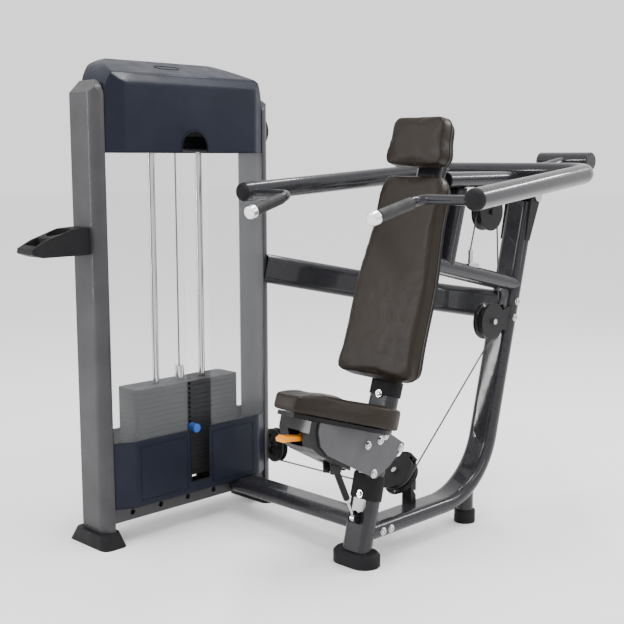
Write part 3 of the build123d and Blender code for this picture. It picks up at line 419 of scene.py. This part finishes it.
def smooth_loop(half, steps=14):
    """Closed outline through mirrored points, by a Catmull-Rom curve."""
    points = [Vector((x, y)) for x, y in half] + [Vector((-x, y)) for x, y in reversed(half)]
    count = len(points)
    loop = []
    for i in range(count):
        a, b, c, d = (points[(i + k) % count] for k in (-1, 0, 1, 2))
        for step in range(steps):
            t = step / steps
            loop.append(0.5 * (2 * b + (c - a) * t + (2 * a - 5 * b + 4 * c - d) * t * t
                               + (3 * b - 3 * c + d - a) * t ** 3))
    return loop


def swell(obj, pinned, cap):
    """Cloth pressure on a closed mesh; the pinned vertices stay, the rest move up to cap."""
    rest = [v.co.copy() for v in obj.data.vertices]
    hold = obj.vertex_groups.new(name="hold")
    hold.add(pinned, 1.0, "REPLACE")
    cloth = obj.modifiers.new("cloth", "CLOTH")
    settings = cloth.settings
    settings.quality = 5
    settings.mass = 0.5
    settings.tension_stiffness = 40
    settings.compression_stiffness = 40
    settings.shear_stiffness = 25
    settings.bending_stiffness = 12.0
    settings.use_pressure = True
    settings.uniform_pressure_force = FOAM_PRESSURE
    settings.effector_weights.gravity = 0
    settings.vertex_group_mass = "hold"
    cloth.collision_settings.use_collision = False
    for number in range(1, CLOTH_FRAMES + 1):
        scene.frame_set(number)
    applied(obj)
    scene.frame_set(1)
    obj.vertex_groups.clear()
    for vertex, old in zip(obj.data.vertices, rest):
        move = vertex.co - old
        if move.length > cap:
            vertex.co = old + move.normalized() * cap


def relax(obj, rounds):
    """Smooth a mesh a number of times."""
    bm = bmesh.new()
    bm.from_mesh(obj.data)
    for _ in range(rounds):
        bmesh.ops.smooth_vert(bm, verts=bm.verts, factor=0.5, use_axis_x=True, use_axis_y=True,
                              use_axis_z=True)
    bm.to_mesh(obj.data)
    bm.free()


def cushion(name, node, body, to_world, rounds, cap, held, sculpt=None):
    """Foam pad grown from its CAD solid: remeshed, rounded, swollen, then subdivided."""
    obj = add_object(name, nodes[node].data.copy(), FINISHES["upholstery"])
    remesh = obj.modifiers.new("remesh", "REMESH")
    remesh.mode = "VOXEL"
    remesh.voxel_size = VOXEL * MM
    applied(obj)
    for vertex in obj.data.vertices:
        vertex.co -= vertex.normal * FOAM_INSET * MM
    relax(obj, rounds)
    local = to_world.inverted()
    if sculpt:
        for vertex in obj.data.vertices:
            vertex.co = to_world @ sculpt(local @ vertex.co)
    pinned = [v.index for v in obj.data.vertices if held((local @ v.co).z)]
    swell(obj, pinned, cap * MM)
    relax(obj, LAST_RELAX)
    smooth = obj.modifiers.new("smooth", "SUBSURF")
    smooth.levels = 1
    smooth.render_levels = 1
    applied(obj)
    dress(obj, FINISHES["upholstery"])
    smooth_shading(obj)
    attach(obj, body)
    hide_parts(node)
    return obj


def seam(name, pad, body, to_world, outline, depth):
    """Piped seam that follows an outline on a pad's surface."""
    tree = surface_tree(pad)
    places = []
    for flat in outline:
        probe = to_world @ Vector((flat.x, flat.y, depth))
        place, normal, _, _ = tree.find_nearest(probe)
        places.append(place + normal * WELT_LIFT * MM)
    bead(name, places, WELT_R, "upholstery", body)


def seat_shape(point):
    """Dish the seat between its sides and round its nose down."""
    x, y, z = point
    if z > BOARD_T + HELD_DEPTH:
        lift = (z - BOARD_T - HELD_DEPTH) / (SEAT_T - BOARD_T - HELD_DEPTH)
        reach = max(0.0, 1 - (y / SEAT_LENGTH) ** 2)
        dish = SEAT_DISH * math.cos(min(1.0, abs(x) / DISH_HALF) * math.pi / 2) * reach
        tip = max(0.0, (y - NOSE_START * SEAT_LENGTH) / (NOSE_LENGTH * SEAT_LENGTH))
        nose = NOSE_DROP * tip ** 2
        point = Vector((x, y, z - lift * (dish + nose)))
    return point


BACK_MATRIX, HEAD_MATRIX = pad_matrix(BACK_FOOT, PAD_LEAN), pad_matrix(HEAD_FOOT, HEAD_LEAN)
back = cushion("back_cushion", "back_pad", "frame", BACK_MATRIX, 6, 5.0, lambda z: z > BACK_T - HELD_DEPTH)
head = cushion("head_cushion", "head_pad", "frame", HEAD_MATRIX, 6, 5.0, lambda z: z > HEAD_T - HELD_DEPTH)
cushion("seat_cushion", "seat_pad", "seat_carrier", seat_matrix(), 12, 6.0,
        lambda z: z < BOARD_T + HELD_DEPTH, seat_shape)
seam("back_welt", back, "frame", BACK_MATRIX, smooth_loop(BACK_HALF), BACK_T * WELT_SHARE)
seam("head_welt", head, "frame", HEAD_MATRIX, smooth_loop(HEAD_HALF), HEAD_T * WELT_SHARE)


# ---------------------------------------------------------------- cables

def stretching_cable(name, node, start, end, fixed, moving, zone=1.0):
    """Cable from a fixed end to a moving end; its rings are packed close in the last part of it, the zone.
    """
    start, end = Vector(start), Vector(end)
    marks = [k / STILL_RINGS * (1 - zone) for k in range(STILL_RINGS)]
    marks += [1 - zone * (1 - k / ZONE_RINGS) for k in range(ZONE_RINGS + 1)]
    mesh = tube_mesh(name, start, end, CABLE_R, sorted(set(marks)))
    obj = add_object(name, mesh, FINISHES["cable"])
    smooth_shading(obj)
    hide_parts(node)
    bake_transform(obj)


stretching_cable("anchor_cable", "cable_anchor_run", *ANCHOR_STRETCH, "frame", "press_arm", zone=0.1)
stretching_cable("arm_cable", "cable_arm_run", *ARM_STRETCH, "frame", "press_arm", zone=0.04)
stretching_cable("stack_cable", "cable_stack_run", *STACK_STRETCH, "frame", "weight_carriage")


# ---------------------------------------------------------------- small details

def on_surface(tree, probe, lift):
    """Place in metres on the surface nearest to a probe, both probe and lift off it in millimetres."""
    place, normal, _, _ = tree.find_nearest(Vector(probe) * MM)
    return place + normal * lift * MM


def slot_trims():
    """Rubber edging round the selector slots of the hood and the lower guard."""
    hood, guard = surface_tree(nodes["top_shroud"]), surface_tree(nodes["lower_guard"])
    arch = [(STACK_Y + HOOD_SLOT_HALF, HOOD_SLOT_FOOT)]
    for i in range(ARCH_STEPS + 1):
        t = math.pi * i / ARCH_STEPS
        arch.append((STACK_Y + HOOD_SLOT_HALF * math.cos(t), HOOD_ARCH_Z + HOOD_SLOT_HALF * math.sin(t)))
    arch += [(STACK_Y - HOOD_SLOT_HALF, HOOD_SLOT_FOOT)]
    bead("hood_slot_trim", [on_surface(hood, (PROBE_X, y, z), TRIM_LIFT) for y, z in arch], HOOD_TRIM_R,
         "rubber", "frame", closed=False)
    low = [(STACK_Y + GUARD_SLOT_HALF, GUARD_SLOT_HIGH), (STACK_Y + GUARD_SLOT_HALF, GUARD_SLOT_LOW),
           (STACK_Y - GUARD_SLOT_HALF, GUARD_SLOT_LOW), (STACK_Y - GUARD_SLOT_HALF, GUARD_SLOT_HIGH)]
    bead("guard_slot_trim", [on_surface(guard, (PROBE_X, y, z), TRIM_LIFT) for y, z in low], GUARD_TRIM_R,
         "rubber", "frame", closed=False)


def hood_oval():
    """Blank raised oval on the hood's pitched roof."""
    hood = surface_tree(nodes["top_shroud"])
    straight = OVAL_HALF_LONG - OVAL_HALF_WIDE
    places = []
    for i in range(OVAL_STEPS):
        t = 2 * math.pi * i / OVAL_STEPS
        x = OVAL_X + OVAL_HALF_WIDE * math.sin(t)
        y = OVAL_Y + math.copysign(straight, math.cos(t)) + OVAL_HALF_WIDE * math.cos(t)
        places.append(on_surface(hood, (x, y, OVAL_PROBE_Z), OVAL_LIFT))
    bead("hood_oval", places, OVAL_R, "shroud_plastic", "frame")


def guard_borders():
    """Raised border on each half of the lower guard's main face."""
    guard = surface_tree(nodes["lower_guard"])
    for name, y0, y1 in (("guard_border_front", BORDER_FRONT, STACK_Y - BORDER_GAP),
                         ("guard_border_rear", STACK_Y + BORDER_GAP, BORDER_REAR)):
        corners = [(y0, BORDER_LOW), (y1, BORDER_LOW), (y1, BORDER_HIGH), (y0, BORDER_HIGH)]
        places = []
        for (ya, za), (yb, zb) in zip(corners, corners[1:] + corners[:1]):
            for k in range(BORDER_STEPS):
                y = ya + (yb - ya) * k / BORDER_STEPS
                z = za + (zb - za) * k / BORDER_STEPS
                places.append(on_surface(guard, (PROBE_X, y, z), BORDER_LIFT))
        bead(name, places, BORDER_R, "shroud_plastic", "frame")


def weld_bead(name, node, other, body):
    """Bead through the outermost points where one part's mesh touches another's; none where few touch."""
    tree = surface_tree(nodes[other])
    mesh = nodes[node].data
    touching = [v.co.copy() for v in mesh.vertices if tree.find_nearest(v.co)[3] < TOUCH * MM]
    if len(touching) < FEWEST_TOUCHING:
        return
    centre = sum(touching, Vector()) / len(touching)
    spread = sorted(touching, key=lambda c: (c - centre).length)[-1] - centre
    side = sorted(touching, key=lambda c: (c - centre).cross(spread).length)[-1] - centre
    normal = spread.cross(side).normalized()
    across = normal.cross(spread).normalized()
    ahead = spread.normalized()

    def bearing(co):
        return math.atan2((co - centre).dot(across), (co - centre).dot(ahead))

    sectors = {}
    for co in sorted(touching, key=bearing):
        key = round(bearing(co) * HALF_TURN_SECTORS / math.pi)
        if key not in sectors or (co - centre).length > (sectors[key] - centre).length:
            sectors[key] = co
    ring = [sectors[key] for key in sorted(sectors)]
    if len(ring) >= FEWEST_SECTORS:
        bead(name, ring, WELD_R, "frame_paint", body)


slot_trims()
hood_oval()
guard_borders()
for weld in WELDS:
    weld_bead(*weld)


# ---------------------------------------------------------------- stage

def stage_floor():
    """Pale floor, far wider than the view."""
    bm = bmesh.new()
    bmesh.ops.create_grid(bm, x_segments=1, y_segments=1, size=FLOOR_HALF)
    mesh = bpy.data.meshes.new("floor")
    bm.to_mesh(mesh)
    bm.free()
    floor = bpy.data.objects.new("floor", mesh)
    scene.collection.objects.link(floor)
    material = bpy.data.materials.new("pale_floor")
    material.use_nodes = True
    shader = material.node_tree.nodes["Principled BSDF"]
    shader.inputs["Base Color"].default_value = (FLOOR_WHITE, FLOOR_WHITE, FLOOR_WHITE, 1)
    shader.inputs["Roughness"].default_value = FLOOR_ROUGH
    dress(floor, material)


def area_light(name, place, size, power):
    light = bpy.data.lights.new(name, "AREA")
    light.shape = "RECTANGLE"
    light.size, light.size_y = size
    light.energy = power
    lamp = bpy.data.objects.new(name, light)
    lamp.location = place
    lamp.rotation_euler = (Vector(AIM) - Vector(place)).to_track_quat("-Z", "Y").to_euler()
    scene.collection.objects.link(lamp)


def studio():
    world = bpy.data.worlds.new("studio")
    scene.world = world
    world.use_nodes = True
    sky = world.node_tree.nodes["Background"]
    sky.inputs["Color"].default_value = (1, 1, 1, 1)
    sky.inputs["Strength"].default_value = SKY_STRENGTH
    for light in LIGHTS:
        area_light(*light)


def photo_camera():
    data = bpy.data.cameras.new("camera")
    data.lens = CAMERA_LENS
    data.sensor_width = CAMERA_SENSOR
    data.shift_x = CAMERA_SHIFT
    camera = bpy.data.objects.new("camera", data)
    camera.location = CAMERA_PLACE
    camera.rotation_euler = (math.radians(90 - CAMERA_PITCH), 0, math.radians(CAMERA_AZIMUTH))
    scene.collection.objects.link(camera)
    scene.camera = camera


stage_floor()
studio()
photo_camera()
